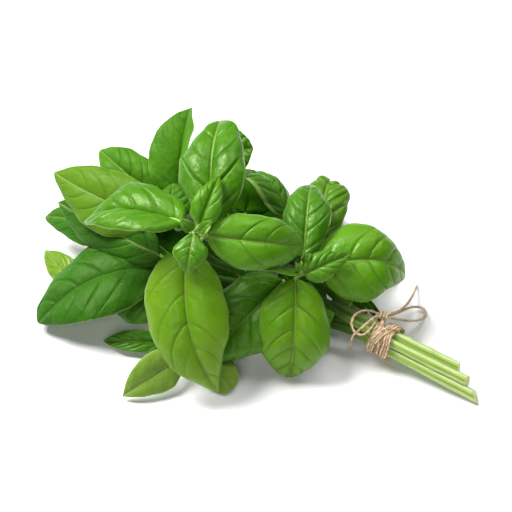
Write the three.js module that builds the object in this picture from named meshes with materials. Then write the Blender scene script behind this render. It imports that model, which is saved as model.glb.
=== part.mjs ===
import * as THREE from 'three';

// A bunch of fresh basil lying on its side, tied round its stems with jute twine.
// Millimetres, +Z up. The stems run along +X to their cut ends, and the leafy head is at -X.

// ---- driving dimensions ---------------------------------------------------------------------

const CENTRE = [8.2, -12, 0.2]; // what is taken off every point, so that the origin is under the middle
const STEM = { diameter: 4.9, taper: 0.6, sides: 8, steps: 13 };
const BRANCH = { diameter: 3, steps: 5 };
const BLADE = {
  stations: [0, 0.07, 0.2, 0.36, 0.53, 0.7, 0.85, 0.95], // shares of the blade, base to tip
  baseFullness: 0.55, // lower is rounder
  tipFullness: 0.78,
  stalkRadius: 0.8,
  thickness: 0.45,
  midrib: 0.8, // how much deeper the keel under the midrib is at the base
  stalkShare: 0.07, // share of the midrib before the blade begins
  lean: 1.2, // above 1, the arch is highest past the middle, so the tip turns over
};
const TWINE = { diameter: 1.3, layers: 1.3, sides: 8, step: 4, clearance: 0.25 };
const TIE = { centre: [75, 5.5, 12.6], axis: [1, 0.1, -0.16], length: 11 };
const KNOT = { centre: [69.2, 10.3, 21.9], size: [6.4, 5.4, 4.4] };

const COLOUR = {
  leaf: 0x3f8f2b,
  young: 0x69ad3a,
  stem: 0x93b95a,
  twine: 0xb08d5e,
};

// ---- materials ------------------------------------------------------------------------------

function finish(color, roughness) {
  return new THREE.MeshStandardMaterial({ color, roughness, metalness: 0 });
}

const vec = ([x, y, z]) => new THREE.Vector3(x - CENTRE[0], y - CENTRE[1], z - CENTRE[2]);

// ---- a closed skin through rings of points --------------------------------------------------

// Every ring has the same number of points, and a fan closes each end.
function loft(start, rings, end) {
  const count = rings[0].length;
  const points = [start, ...rings.flat(), end];
  const last = points.length - 1;
  const at = (ring, k) => 1 + ring * count + (k % count);
  const faces = [];
  for (let k = 0; k < count; k += 1) {
    faces.push(0, at(0, k + 1), at(0, k));
    for (let ring = 0; ring < rings.length - 1; ring += 1) {
      faces.push(at(ring, k), at(ring, k + 1), at(ring + 1, k + 1));
      faces.push(at(ring, k), at(ring + 1, k + 1), at(ring + 1, k));
    }
    faces.push(at(rings.length - 1, k), at(rings.length - 1, k + 1), last);
  }
  const geometry = new THREE.BufferGeometry().setFromPoints(points);
  geometry.setIndex(faces);
  geometry.computeVertexNormals();
  return geometry;
}

// ---- leaves ---------------------------------------------------------------------------------

// Half the blade's width at share u of its length, as a share of its greatest half width.
function bladeProfile(u, tipFullness) {
  const [a, b] = [BLADE.baseFullness, tipFullness];
  const widest = a / (a + b);
  const greatest = widest ** a * (1 - widest) ** b;
  return (u ** a * (1 - u) ** b) / greatest;
}

// The place of share q of a half blade, seen along the midrib: it leaves the midrib at the angle
// `fold` above the level and turns down by the angle `cup` on its way to the margin.
function halfSection(q, fold, cup) {
  const rise = THREE.MathUtils.degToRad(fold);
  const turn = THREE.MathUtils.degToRad(cup);
  return [
    (Math.sin(rise) - Math.sin(rise - turn * q)) / turn,
    (Math.cos(rise - turn * q) - Math.cos(rise)) / turn,
  ];
}

// `face` is the way the upper side looks, `arch` bows the midrib that way and `bend` sideways.
// `root` is where its stalk leaves the stem, when that isn't at the base itself.
function leafGeometry(base, tip, face, width, shape) {
  const { arch = 5, bend = 0, fold = [15, 15], cup = 50, root, tipFullness = BLADE.tipFullness } = shape;
  const stalk = BLADE.stalkShare;
  const from = vec(base);
  const chord = vec(tip).sub(from);
  const side = new THREE.Vector3().crossVectors(chord, new THREE.Vector3(...face)).normalize();
  const up = new THREE.Vector3().crossVectors(side, chord).normalize();

  const midrib = (t) =>
    from
      .clone()
      .addScaledVector(chord, t)
      .addScaledVector(up, arch * Math.sin(Math.PI * t ** BLADE.lean))
      .addScaledVector(side, bend * 4 * t * (1 - t));

  // The ring round `centre`, in a blade that runs along `along`, at share u of the blade.
  function ring(centre, along, u) {
    const across = side.clone().addScaledVector(along, -side.dot(along)).normalize();
    const normal = new THREE.Vector3().crossVectors(across, along);
    const half = BLADE.stalkRadius + (width / 2 - BLADE.stalkRadius) * bladeProfile(u, tipFullness);
    const place = (x, z) => centre.clone().addScaledVector(across, x).addScaledVector(normal, z);
    const [farLeft, highLeft] = halfSection(1, fold[0], cup);
    const [midLeft, crownLeft] = halfSection(0.5, fold[0], cup);
    const [farRight, highRight] = halfSection(1, fold[1], cup);
    const [midRight, crownRight] = halfSection(0.5, fold[1], cup);
    const keel = BLADE.thickness + BLADE.midrib * (1 - u);
    return [
      place(-half * farLeft, half * highLeft),
      place(-half * midLeft, half * crownLeft),
      place(0, 0),
      place(half * midRight, half * crownRight),
      place(half * farRight, half * highRight),
      place(0, -keel),
    ];
  }

  const direction = (t) => midrib(Math.min(t + 0.01, 1)).sub(midrib(Math.max(t - 0.01, 0))).normalize();
  const rings = [ring(from, direction(0), 0)];
  for (const u of BLADE.stations) {
    const t = stalk + (1 - stalk) * u;
    rings.push(ring(midrib(t), direction(t), u));
  }
  if (!root) return loft(from, rings, midrib(1));

  // The stalk comes up from the stem and turns into the midrib's own direction.
  const origin = vec(root);
  const turn = from.clone().addScaledVector(direction(0), -0.5 * from.distanceTo(origin));
  const way = new THREE.QuadraticBezierCurve3(origin, turn, from);
  const lower = [0, 0.35, 0.7].map((t) => ring(way.getPoint(t), way.getTangent(t), 0));
  return loft(origin, [...lower, ...rings], midrib(1));
}

// Each row: name, base, tip, the way the upper side looks, greatest width, shape.
const LEAVES = [
  // the crown: the shoot tip that stands highest, its big pairs first
  [
    'crown_upper', [-12, -21.6, 65], [-40.8, 27, 80], [0.1, -0.6, 0.8], 35,
    { arch: 9, bend: 0.6, fold: [22, 22], cup: 62, tipFullness: 0.56 },
  ],
  [
    'crown_lower', [-13, -39, 64], [24, -66, 7], [0.45, -0.55, 0.7], 41.5,
    { arch: 9, bend: 7, fold: [8, 8], cup: 40, tipFullness: 0.93 },
  ],
  [
    'crown_left', [-19, -34, 73], [-66, -50, 58], [-0.1, -0.3, 1], 38,
    { arch: 7, bend: 4, fold: [58, 12], cup: 50 },
  ],
  [
    'crown_right', [-7, -31, 71], [27, 2, 54.5], [0.3, -0.5, 0.8], 29.5,
    { arch: 8, bend: 1.2, fold: [16, 16], cup: 55, tipFullness: 0.7 },
  ],
  [
    'crown_young_lower', [-11.2, -36, 74.4], [-4.8, -50.1, 62], [0.37, -0.53, 0.77], 17,
    { arch: 3, fold: [12, 12], cup: 40 },
  ],
  [
    'crown_young_upper', [-11.3, -30.5, 75.5], [-17.5, -6, 83.5], [0.3, -0.6, 0.7], 14.5,
    { arch: 3, fold: [30, 30], cup: 40 },
  ],
  [
    'crown_bud_left', [-13, -35, 74], [-19, -36, 80], [0.5, -0.4, 0.7], 6,
    { arch: 1.2, fold: [30, 30], cup: 40 },
  ],
  [
    'crown_bud_right', [-9, -33, 74], [-5, -29, 80], [-0.3, -0.6, 0.8], 6,
    { arch: 1.2, fold: [30, 30], cup: 40 },
  ],

  // the collar: the lower shoot tip, beside the tie
  [
    'collar_lower', [31, -11, 45], [43.9, -34.8, 0.6], [0.45, -0.55, 0.7], 37.5,
    { arch: 9, bend: -0.7, fold: [12, 12], cup: 45, tipFullness: 0.64 },
  ],
  [
    'collar_upper', [27.5, 0.5, 47], [6, 38.7, 52], [0.3, -0.5, 0.8], 26,
    { arch: 8, fold: [16, 16], cup: 60, tipFullness: 0.68 },
  ],
  [
    'collar_right', [35, 4, 43], [65.2, 37.5, 22], [0.2, -0.4, 0.9], 42,
    { arch: 12, bend: -3, fold: [10, 10], cup: 55 },
  ],
  [
    'collar_left', [23.5, -10, 36.8], [8, -54, 7.8], [0.2, -0.6, 0.7], 39,
    { arch: 6, fold: [16, 16], cup: 50 },
  ],
  [
    'collar_young_right', [33.5, -7.5, 46.5], [46, 14.5, 49], [0.3, -0.6, 0.8], 15,
    { arch: 3, fold: [20, 20], cup: 50 },
  ],
  [
    'collar_young_left', [31, -9, 46.5], [12.5, -27.5, 55], [-0.25, 0.48, 0.9], 12,
    { arch: 2, fold: [20, 20], cup: 40 },
  ],
  [
    'collar_bud_left', [31.5, -8.5, 48.5], [30, -9.5, 55], [0.5, -0.4, 0.7], 5,
    { arch: 1, fold: [30, 30], cup: 40 },
  ],
  [
    'collar_bud_right', [31, -3.5, 49], [32.5, 0, 54], [0, -0.6, 0.8], 5,
    { arch: 1, fold: [30, 30], cup: 40 },
  ],

  // the left side
  [
    'left_big', [-28, -28, 30], [-76, -82.2, 6], [-0.3, -0.5, 0.8], 46,
    { arch: 7.2, bend: 7, fold: [18, 10], cup: 40, root: [-24, -22, 24], tipFullness: 0.66 },
  ],
  [
    'left_high', [-40.8, -21.7, 48.8], [-107.7, -24.9, 46.8], [-0.1, -0.6, 0.8], 33.4,
    { arch: 6, bend: -2, fold: [10, 10], cup: 40, root: [-41, -14, 39], tipFullness: 0.84 },
  ],
  [
    'left_strip', [-30, -33, 39.1], [-102.8, -29.8, 31.4], [-0.1, -0.7, 0.7], 26.2,
    { arch: 4, fold: [8, 4], cup: 35, root: [-28, -12, 32] },
  ],
  [
    'left_far', [-66, -31, 24.4], [-112, -31, 15.2], [-0.3, -0.5, 0.8], 20,
    { arch: 4, bend: 3, fold: [10, 10], cup: 40, root: [-46, -24.5, 22.4] },
  ],
  [
    'left_low', [-58.1, -56, 8], [-103.8, -42.5, 5], [-0.2, -0.6, 0.8], 17,
    { arch: 4, fold: [10, 10], cup: 35, root: [-47, -31, 17] },
  ],
  [
    'left_rear', [-56, -2, 33.2], [-103, 6, 39], [0, -0.5, 0.9], 27,
    { arch: 6, fold: [14, 14], cup: 45, root: [-40, -6, 35] },
  ],

  // the top
  [
    'top_standing', [-46.6, -2.4, 42], [-66, 37, 66], [0.5, -0.7, 0.5], 34,
    { arch: 4, bend: -1.2, fold: [8, 95], cup: 20, root: [-44, -6, 40] },
  ],
  [
    'top_curved', [-37, -17.5, 45.5], [-49, -1.8, 54.4], [0.2, -0.7, 0.6], 24.6,
    { arch: 3, fold: [16, 16], cup: 50, root: [-36, -11, 39] },
  ],
  [
    'top_folded', [-44, 31, 48.6], [-30.3, 41, 54.4], [0.1, -0.5, 0.9], 25,
    { arch: 3, fold: [20, 20], cup: 40, root: [-25, 10, 43] },
  ],
  [
    'top_cupped', [2, 25, 36], [-31, 33, 42], [0.7, 0.2, 0.7], 21,
    { arch: 9, fold: [10, 10], cup: 60, root: [6, 17, 29] },
  ],
  ['top_inner', [0, 15, 20], [-27, 27, 18.5], [0.1, -0.45, 0.8], 29, { arch: 3, fold: [14, 14], cup: 45 }],
  [
    'top_crinkled', [22, 22, 32], [4, 60, 36], [0.2, -0.5, 0.8], 27,
    { arch: 6, fold: [20, 20], cup: 55, root: [22, 16, 23], tipFullness: 0.6 },
  ],

  // small side shoots at the neck
  [
    'neck_young_front', [50, -6, 23], [40, -14, 28], [0.2, -0.3, 1], 8,
    { arch: 2, fold: [25, 25], cup: 40 },
  ],
  ['neck_young_rear', [52, 9, 22], [44, 14, 30], [0.3, -0.4, 0.9], 8, { arch: 2, fold: [25, 25], cup: 40 }],

  // low in front
  ['low_left', [-24.5, -40, 22], [-53.6, -54, 10], [-0.2, -0.6, 0.7], 28, { arch: 4, fold: [14, 14], cup: 40 }],
  [
    'low_narrow', [-15.6, -54.6, 5.5], [-43.5, -70.5, 3], [-0.2, -0.6, 0.7], 11.5,
    { arch: 2, fold: [30, 30], cup: 30, root: [-12, -43, 13] },
  ],
  [
    'low_turned', [0.1, -60.4, 12], [-15, -92, 2.9], [0.5, -0.7, 0.5], 21,
    { arch: 3, bend: 2, fold: [25, 10], cup: 25, root: [-4, -39, 15], tipFullness: 0.95 },
  ],
  [
    'low_dark', [-8, -46, 24.6], [-11.6, -66.5, 15.6], [0.2, -0.6, 0.7], 13,
    { arch: 3, fold: [14, 14], cup: 35, root: [-10, -41, 20] },
  ],
  [
    'low_tip', [4.1, -47.2, 6.4], [25.9, -58.8, 2.2], [0.3, -0.6, 0.8], 17,
    { arch: 2, fold: [20, 20], cup: 35, root: [-2, -36, 11], tipFullness: 0.4 },
  ],

  // the back
  [
    'back_high', [-20, 18, 30], [-40, 60, 12], [-0.2, 0.6, 0.8], 36,
    { arch: 6, fold: [14, 14], cup: 50, root: [-12, 16, 32] },
  ],
  [
    'back_middle', [6, 26, 22], [-2, 68, 8], [0, 0.6, 0.8], 36,
    { arch: 7, fold: [14, 14], cup: 50, root: [6, 19, 16] },
  ],
  [
    'back_right', [26, 22, 20], [42, 60, 1], [0.2, 0.6, 0.8], 34,
    { arch: 7, fold: [14, 14], cup: 50, root: [24, 18, 18] },
  ],
  [
    'back_left', [-48, 8, 30], [-92, 32, 10], [-0.4, 0.5, 0.8], 34,
    { arch: 7, fold: [14, 14], cup: 50, root: [-34, -3, 31] },
  ],
  ['back_low', [-30, 17, 14], [-58, 52, 0.2], [-0.3, 0.6, 0.8], 34, { arch: 6, fold: [12, 12], cup: 45 }],
  [
    'under_left', [-36, -12, 8], [-84, -1, 0.2], [0, 0, 1], 40,
    { arch: 3, fold: [8, 8], cup: 30, root: [-24, -17, 15] },
  ],
  [
    'under_back', [0, 20, 8], [-12, 58, 0.2], [0, 0.2, 1], 30,
    { arch: 3, fold: [8, 8], cup: 30, root: [-2, 18, 11] },
  ],
  [
    'under_middle', [2, -2, 6.5], [-40, 3, 4], [0, 0, 1], 30,
    { arch: 3, fold: [8, 8], cup: 30, root: [10, -1, 11] },
  ],
  [
    'under_right', [34, 5, 6], [4, 15, 4], [0, 0, 1], 22,
    { arch: 3, fold: [8, 8], cup: 30, root: [40, 3, 8.5] },
  ],
  [
    'under_neck', [62, 5, 6.5], [36, 19, 4], [0, 0, 1], 18,
    { arch: 3, fold: [8, 8], cup: 30, root: [66, 4, 8] },
  ],
  [
    'under_tie', [66, 17.5, 5], [38, 30, 2], [0, 0, 1], 13,
    { arch: 3, fold: [8, 8], cup: 30, root: [72, 14, 6] },
  ],
];

// ---- stems ----------------------------------------------------------------------------------

// Each stem: its cut end, its place in the tied bundle (across, up) and its way into the head.
const STEMS = {
  stem_crown: {
    cut: [112, 14, 7.6],
    place: [2.5, 2.15],
    head: [[50, 4, 19], [25, -4, 24], [5, -16, 36], [-8, -28, 50], [-13, -34, 71]],
  },
  stem_collar: {
    cut: [119, 9.2, 7.5],
    place: [-2.5, 2.15],
    head: [[54, 0, 20], [40, -4, 30], [32, -6, 44]],
  },
  stem_front: {
    cut: [128, 6.8, 2.6],
    place: [-5, -1.7],
    head: [[52, -4, 16], [20, -18, 12], [-4, -34, 14], [-15, -42, 18]],
  },
  stem_left: {
    cut: [114, 12.4, 2.6],
    place: [0, -1.7],
    head: [[50, 3, 12], [10, 0, 15], [-20, -7, 26], [-42, -10, 41]],
  },
  stem_back: {
    cut: [107, 17, 2.6],
    place: [5, -1.7],
    head: [[50, 11, 13], [20, 14, 19], [-4, 13, 29], [-24, 10, 41]],
  },
};

// Side branches, from the stem that bears them to their tips.
const BRANCHES = {
  branch_left: [[12, -3.5, 16], [-6, -11, 17], [-26, -20, 19], [-44, -30, 20]],
  branch_back: [[14, 18, 17], [2, 17, 13], [-12, 15, 12], [-26, 14, 14]],
};

// The tied bundle's own axes: along it, across it and up.
const tieAxis = new THREE.Vector3(...TIE.axis).normalize();
const tieAcross = new THREE.Vector3(0, 0, 1).cross(tieAxis).normalize();
const tieUp = new THREE.Vector3().crossVectors(tieAxis, tieAcross);

function inTie(along, [across, up]) {
  return vec(TIE.centre)
    .addScaledVector(tieAxis, along)
    .addScaledVector(tieAcross, across)
    .addScaledVector(tieUp, up);
}

function stemRoute({ cut, place, head }) {
  const straight = TIE.length * 0.6; // each way from the middle of the tie
  return [vec(cut), inTie(straight, place), inTie(-straight, place), ...head.map(vec)];
}

function stemGeometry(route, diameter, steps) {
  const path = new THREE.CatmullRomCurve3(route, false, 'centripetal');
  const reference = new THREE.Vector3(0, 1, 0);
  const rings = [];
  for (let step = 0; step <= steps; step += 1) {
    const t = step / steps;
    const along = path.getTangentAt(t);
    const across = new THREE.Vector3().crossVectors(reference, along).normalize();
    const over = new THREE.Vector3().crossVectors(along, across);
    const radius = (diameter / 2) * (1 - (1 - STEM.taper) * t);
    const centre = path.getPointAt(t);
    const ring = [];
    for (let side = 0; side < STEM.sides; side += 1) {
      const angle = (side / STEM.sides) * 2 * Math.PI;
      const point = centre
        .clone()
        .addScaledVector(across, radius * Math.cos(angle))
        .addScaledVector(over, radius * Math.sin(angle));
      ring.push(point);
    }
    rings.push(ring);
  }
  return loft(path.getPointAt(0), rings, path.getPointAt(1));
}

// ---- twine ----------------------------------------------------------------------------------

// Free lengths of twine, each from the knot outwards. The loops come back to the knot.
const TWINE_ROUTES = {
  loop_left: [
    [65.9, 9.2, 22.6], [63.3, 7.8, 24], [60.6, 5.3, 24.8],
    [58.8, -0.1, 24.9], [59.8, -4.1, 23.8], [62.6, -6.1, 21.6],
    [66.8, -5.5, 20.2], [68, -1, 20], [68, 3.6, 20.3],
    [67.3, 7.2, 20.7],
  ],
  loop_right: [
    [72.9, 12.8, 19.4], [75, 16.5, 16.3], [77.9, 21.5, 12],
    [80.2, 29.4, 6], [79.8, 36.4, 2.5], [76.2, 40.6, 1.5],
    [72.6, 37.2, 3.4], [72.2, 30, 9], [72.2, 22, 14.5],
    [71.7, 14.7, 19.2],
  ],
  tail_left: [
    [66.8, 7.6, 22], [65.7, 2, 22.4], [64.7, -3.1, 21.6],
    [62.2, -5.4, 17.5], [61.2, -6, 10], [59.6, -5, 3.5],
  ],
  tail_right: [
    [71.8, 13.9, 21.6], [72.7, 18.1, 19], [72.6, 26, 15],
    [70.5, 34.7, 9.8], [67.8, 43.5, 4.6], [65.2, 50.9, 1.2],
  ],
};

function twineGeometry(points) {
  const path = new THREE.CatmullRomCurve3(points.map(vec), false, 'centripetal');
  const radius = TWINE.diameter / 2;
  const section = new THREE.Shape();
  for (let side = 0; side < TWINE.sides; side += 1) {
    const angle = (side / TWINE.sides) * 2 * Math.PI;
    const move = side === 0 ? 'moveTo' : 'lineTo';
    section[move](radius * Math.cos(angle), radius * Math.sin(angle));
  }
  section.closePath();
  const steps = Math.ceil(path.getLength() / TWINE.step);
  return new THREE.ExtrudeGeometry(section, { steps, extrudePath: path });
}

// The outline round the corner stems of the bundle, grown by `reach` from their centres.
function bundleOutline(PathClass, reach) {
  const corners = ['stem_front', 'stem_back', 'stem_crown', 'stem_collar'].map((name) => STEMS[name].place);
  const outline = new PathClass();
  corners.forEach(([x, y], k) => {
    const before = corners[(k + 3) % 4];
    const after = corners[(k + 1) % 4];
    const start = Math.atan2(y - before[1], x - before[0]) - Math.PI / 2;
    const stop = Math.atan2(after[1] - y, after[0] - x) - Math.PI / 2;
    outline.absarc(x, y, reach, start, stop, false);
  });
  return outline;
}

function wrapGeometry() {
  const inner = STEM.diameter / 2 + TWINE.clearance;
  const band = bundleOutline(THREE.Shape, inner + TWINE.diameter * TWINE.layers);
  band.holes.push(bundleOutline(THREE.Path, inner));
  const geometry = new THREE.ExtrudeGeometry(band, {
    depth: TIE.length,
    bevelEnabled: false,
    curveSegments: 3,
  });
  const start = inTie(-TIE.length / 2, [0, 0]);
  geometry.applyMatrix4(new THREE.Matrix4().makeBasis(tieAcross, tieUp, tieAxis).setPosition(start));
  return geometry;
}

function knotGeometry() {
  const geometry = new THREE.SphereGeometry(0.5, 10, 7);
  geometry.scale(...KNOT.size);
  geometry.translate(...vec(KNOT.centre).toArray());
  return geometry;
}

// ---- the bunch ------------------------------------------------------------------------------

const bunch = new THREE.Group();

function add(name, geometry, material) {
  const mesh = new THREE.Mesh(geometry, material);
  mesh.name = name;
  bunch.add(mesh);
}

for (const [name, base, tip, face, width, shape] of LEAVES) {
  const tender = name.includes('young') || name.includes('bud');
  const material = finish(tender ? COLOUR.young : COLOUR.leaf, 0.45);
  add(name, leafGeometry(base, tip, face, width, shape), material);
}
for (const [name, stem] of Object.entries(STEMS)) {
  add(name, stemGeometry(stemRoute(stem), STEM.diameter, STEM.steps), finish(COLOUR.stem, 0.5));
}
for (const [name, points] of Object.entries(BRANCHES)) {
  add(name, stemGeometry(points.map(vec), BRANCH.diameter, BRANCH.steps), finish(COLOUR.stem, 0.5));
}
for (const [name, points] of Object.entries(TWINE_ROUTES)) {
  add(name, twineGeometry(points), finish(COLOUR.twine, 0.9));
}
add('twine_wrap', wrapGeometry(), finish(COLOUR.twine, 0.9));
add('twine_knot', knotGeometry(), finish(COLOUR.twine, 0.9));

export default bunch;
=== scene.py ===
# A bunch of fresh basil lying on its side, its bare stems tied with jute twine.
# Metres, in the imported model's own frame: +X to the cut ends, +Z up, the surface at z = 0.
import math

import bmesh
import bpy
import numpy as np
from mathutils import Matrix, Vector

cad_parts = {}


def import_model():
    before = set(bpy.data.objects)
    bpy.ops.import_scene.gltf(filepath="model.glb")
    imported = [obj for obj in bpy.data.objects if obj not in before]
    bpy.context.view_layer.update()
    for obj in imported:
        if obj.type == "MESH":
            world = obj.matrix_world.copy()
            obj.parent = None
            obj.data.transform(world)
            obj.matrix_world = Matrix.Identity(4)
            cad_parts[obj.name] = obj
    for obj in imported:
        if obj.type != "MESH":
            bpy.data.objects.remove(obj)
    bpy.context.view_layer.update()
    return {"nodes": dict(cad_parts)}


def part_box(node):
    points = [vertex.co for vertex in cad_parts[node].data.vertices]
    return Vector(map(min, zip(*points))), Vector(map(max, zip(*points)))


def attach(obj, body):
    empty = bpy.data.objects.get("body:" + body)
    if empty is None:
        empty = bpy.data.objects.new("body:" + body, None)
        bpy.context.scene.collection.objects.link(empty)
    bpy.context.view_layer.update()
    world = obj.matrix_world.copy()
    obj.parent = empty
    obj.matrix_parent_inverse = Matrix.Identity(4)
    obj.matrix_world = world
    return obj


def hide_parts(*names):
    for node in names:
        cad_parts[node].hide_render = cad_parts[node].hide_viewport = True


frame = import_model()
mm = 0.001
floorGap = 0.2 * mm  # a leaf or a frayed end comes no nearer the floor
print("frame loaded with", len(frame["nodes"]), "nodes")


def linkObject(name, data):
    made = bpy.data.objects.new(name, data)
    bpy.context.scene.collection.objects.link(made)
    return made


# the view

view = {
    "aim": (-8.2 * mm, 12 * mm, 29.8 * mm),
    "azimuth": 35,  # degrees round from the front
    "elevation": 50,
    "distance": 950 * mm,
    "field": 256 * mm,  # what the frame takes in at the aim
    "sensor": 36,
    "clip": (10 * mm, 20),
}


def addCamera():
    turn, rise = math.radians(view["azimuth"]), math.radians(view["elevation"])
    back = Vector((math.sin(turn) * math.cos(rise), -math.cos(turn) * math.cos(rise), math.sin(rise)))
    data = bpy.data.cameras.new("viewCamera")
    data.sensor_width = view["sensor"]
    data.lens = view["sensor"] * view["distance"] / view["field"]
    data.clip_start, data.clip_end = view["clip"]
    camera = linkObject("viewCamera", data)
    camera.location = Vector(view["aim"]) + back * view["distance"]
    camera.rotation_euler = (-back).to_track_quat("-Z", "Y").to_euler()
    bpy.context.scene.camera = camera


addCamera()
print("camera placed")


# node trees

def operators(operation):  # the methods for socket + other and for other + socket
    def before(self, other):
        return self.graph.math(operation, self, other)

    def after(self, other):
        return self.graph.math(operation, other, self)

    return before, after


class Socket:  # a socket that adds Math nodes when it is used in an expression
    __add__, __radd__ = operators("ADD")
    __sub__, __rsub__ = operators("SUBTRACT")
    __mul__, __rmul__ = operators("MULTIPLY")
    __truediv__ = operators("DIVIDE")[0]
    __pow__ = operators("POWER")[0]

    def __init__(self, graph, socket):
        self.graph, self.socket = graph, socket

    def also(self, name):  # another output of the same node
        return Socket(self.graph, self.socket.node.outputs[name])


def setStops(ramp, stops):
    while len(ramp.elements) < len(stops):
        ramp.elements.new(1)
    for element, (place, colour) in zip(ramp.elements, stops):
        element.position, element.color = place, (*colour, 1)


class Graph:  # a shader or geometry tree, with a method for each kind of node that is used often
    def __init__(self, tree):
        self.tree = tree

    def node(self, kind, settings=None, inputs=None, output=0):
        made = self.tree.nodes.new(kind)
        for name, value in (settings or {}).items():
            if name == "stops":
                setStops(made.color_ramp, value)
            else:
                setattr(made, name, value)
        for name, value in (inputs or {}).items():
            self.feed(made.inputs[name], value)
        if made.outputs:
            return Socket(self, made.outputs[output])

    def feed(self, target, value):
        if isinstance(value, list):  # a socket that takes several links
            for one in value:
                self.tree.links.new(one.socket, target)
        elif isinstance(value, Socket):
            self.tree.links.new(value.socket, target)
        else:
            target.default_value = value

    def math(self, operation, *values):
        return self.node("ShaderNodeMath", {"operation": operation}, dict(enumerate(values)))

    def vectorMath(self, operation, inputs):
        return self.node("ShaderNodeVectorMath", {"operation": operation}, inputs)

    def vector(self, x=0.0, y=0.0, z=0.0):
        return self.node("ShaderNodeCombineXYZ", {}, {"X": x, "Y": y, "Z": z})

    def noise(self, place, scale, detail, output="Fac"):
        inputs = {"Vector": place, "Scale": scale, "Detail": detail}
        return self.node("ShaderNodeTexNoise", {}, inputs, output)

    def place(self):
        return self.node("ShaderNodeTexCoord", output="Object")

    def read(self, label):  # the value that the mesh's points have under this name
        return self.node("ShaderNodeAttribute", {"attribute_name": label}, output="Fac")

    def bump(self, strength, distance, height):
        inputs = {"Strength": strength, "Distance": distance, "Height": height}
        return self.node("ShaderNodeBump", {}, inputs)

    def step(self, value, noneAt, allAt):  # 0 at one value and before it, 1 at the other and past it
        inputs = {"Value": value, "From Min": noneAt, "From Max": allAt}
        return self.node("ShaderNodeMapRange", {"interpolation_type": "SMOOTHSTEP"}, inputs)

    def mixed(self, share, first, second):
        made = self.tree.nodes.new("ShaderNodeMix")
        made.data_type = "RGBA"
        self.feed(made.inputs[0], share)
        self.feed(made.inputs[6], first if isinstance(first, Socket) else (*first, 1))
        self.feed(made.inputs[7], second if isinstance(second, Socket) else (*second, 1))
        return Socket(self, made.outputs[2])

    def random(self, low, high, seed):
        inputs = {2: low, 3: high, "Seed": seed}
        return self.node("FunctionNodeRandomValue", {"data_type": "FLOAT"}, inputs, 1)

    def circle(self, sides, radius):
        inputs = {"Resolution": sides, "Radius": radius}
        return self.node("GeometryNodeCurvePrimitiveCircle", {"mode": "RADIUS"}, inputs)

    def along(self, output):  # how far along its curve a point is
        return self.node("GeometryNodeSplineParameter", output=output)

    def store(self, geometry, label, value):
        settings = {"data_type": "FLOAT", "domain": "POINT"}
        inputs = {"Geometry": geometry, "Name": label, "Value": value}
        return self.node("GeometryNodeStoreNamedAttribute", settings, inputs)


def newMaterial(name):
    material = bpy.data.materials.new(name)
    material.use_nodes = True
    material.node_tree.nodes.clear()
    return material, Graph(material.node_tree)


def finishMaterial(graph, colour, rough, gloss, tint=(1, 1, 1), normal=None, through=None):
    inputs = {
        "Base Color": colour, "Roughness": rough, "Specular IOR Level": gloss, "Specular Tint": (*tint, 1),
    }
    if normal:
        inputs["Normal"] = normal
    if through:  # the light that passes under the skin: its share, how far each colour goes, the scale
        for label, value in zip(("Weight", "Radius", "Scale"), through):
            inputs["Subsurface " + label] = value
    shader = graph.node("ShaderNodeBsdfPrincipled", {}, inputs)
    graph.node("ShaderNodeOutputMaterial", {}, {"Surface": shader})


def newTool(name, settings, labels):  # a geometry tree, with the named settings as its inputs
    tree = bpy.data.node_groups.new(name, "GeometryNodeTree")
    tree.interface.new_socket("Geometry", in_out="INPUT", socket_type="NodeSocketGeometry")
    for label in labels:
        kind = "NodeSocketInt" if isinstance(settings[label], int) else "NodeSocketFloat"
        item = tree.interface.new_socket(label, in_out="INPUT", socket_type=kind)
        item.default_value = settings[label]
    tree.interface.new_socket("Geometry", in_out="OUTPUT", socket_type="NodeSocketGeometry")
    start = tree.nodes.new("NodeGroupInput")
    graph = Graph(tree)
    return graph, {s.name: Socket(graph, s) for s in start.outputs if s.name}


def evenLine(graph, given):  # the source's edges as curves of even steps, and how far along each point is
    line = graph.node("GeometryNodeMeshToCurve", {}, {"Mesh": given["Geometry"]})
    inputs = {"Curve": line, "Length": given["step"]}
    line = graph.node("GeometryNodeResampleCurve", {"mode": "LENGTH"}, inputs)
    length = graph.along("Length")
    return graph.store(line, "along", length), length


def roughened(graph, swept, place, scale, most):  # moves the skin in and out a little
    share = (graph.noise(place, scale, 2.0) - 0.5) * most * 2
    lift = graph.vectorMath("SCALE", {0: graph.node("GeometryNodeInputNormal"), "Scale": share})
    swept = graph.node("GeometryNodeSetPosition", {}, {"Geometry": swept, "Offset": lift})
    return graph.node("GeometryNodeSetShadeSmooth", {}, {"Geometry": swept})


def endTool(graph, geometry, material):
    whole = graph.node("GeometryNodeRealizeInstances", {}, {"Geometry": geometry})
    painted = graph.node("GeometryNodeSetMaterial", {}, {"Geometry": whole, "Material": material})
    graph.node("NodeGroupOutput", {}, {"Geometry": painted})
    return graph.tree


def runTool(name, tool, source):  # the tool's result on the source mesh, as a plain mesh
    holder = linkObject(name + "Source", source)
    holder.modifiers.new(name, "NODES").node_group = tool
    depsgraph = bpy.context.evaluated_depsgraph_get()
    mesh = bpy.data.meshes.new_from_object(
        holder.evaluated_get(depsgraph), preserve_all_data_layers=True, depsgraph=depsgraph
    )
    bpy.data.objects.remove(holder)
    mesh.name = name
    return mesh


def addPiece(name, mesh, nodes=()):
    piece = linkObject(name, mesh)
    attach(piece, "root")
    if nodes:
        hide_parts(*nodes)
    return piece


def faceMesh(name, points, faces, *materials):
    mesh = bpy.data.meshes.new(name)
    mesh.from_pydata([p.tolist() for p in points], [], faces)
    for material in materials:
        mesh.materials.append(material)
    return mesh


def setValues(mesh, label, numbers):
    mesh.attributes.new(label, "FLOAT", "POINT").data.foreach_set("value", numbers)


# routes

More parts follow.
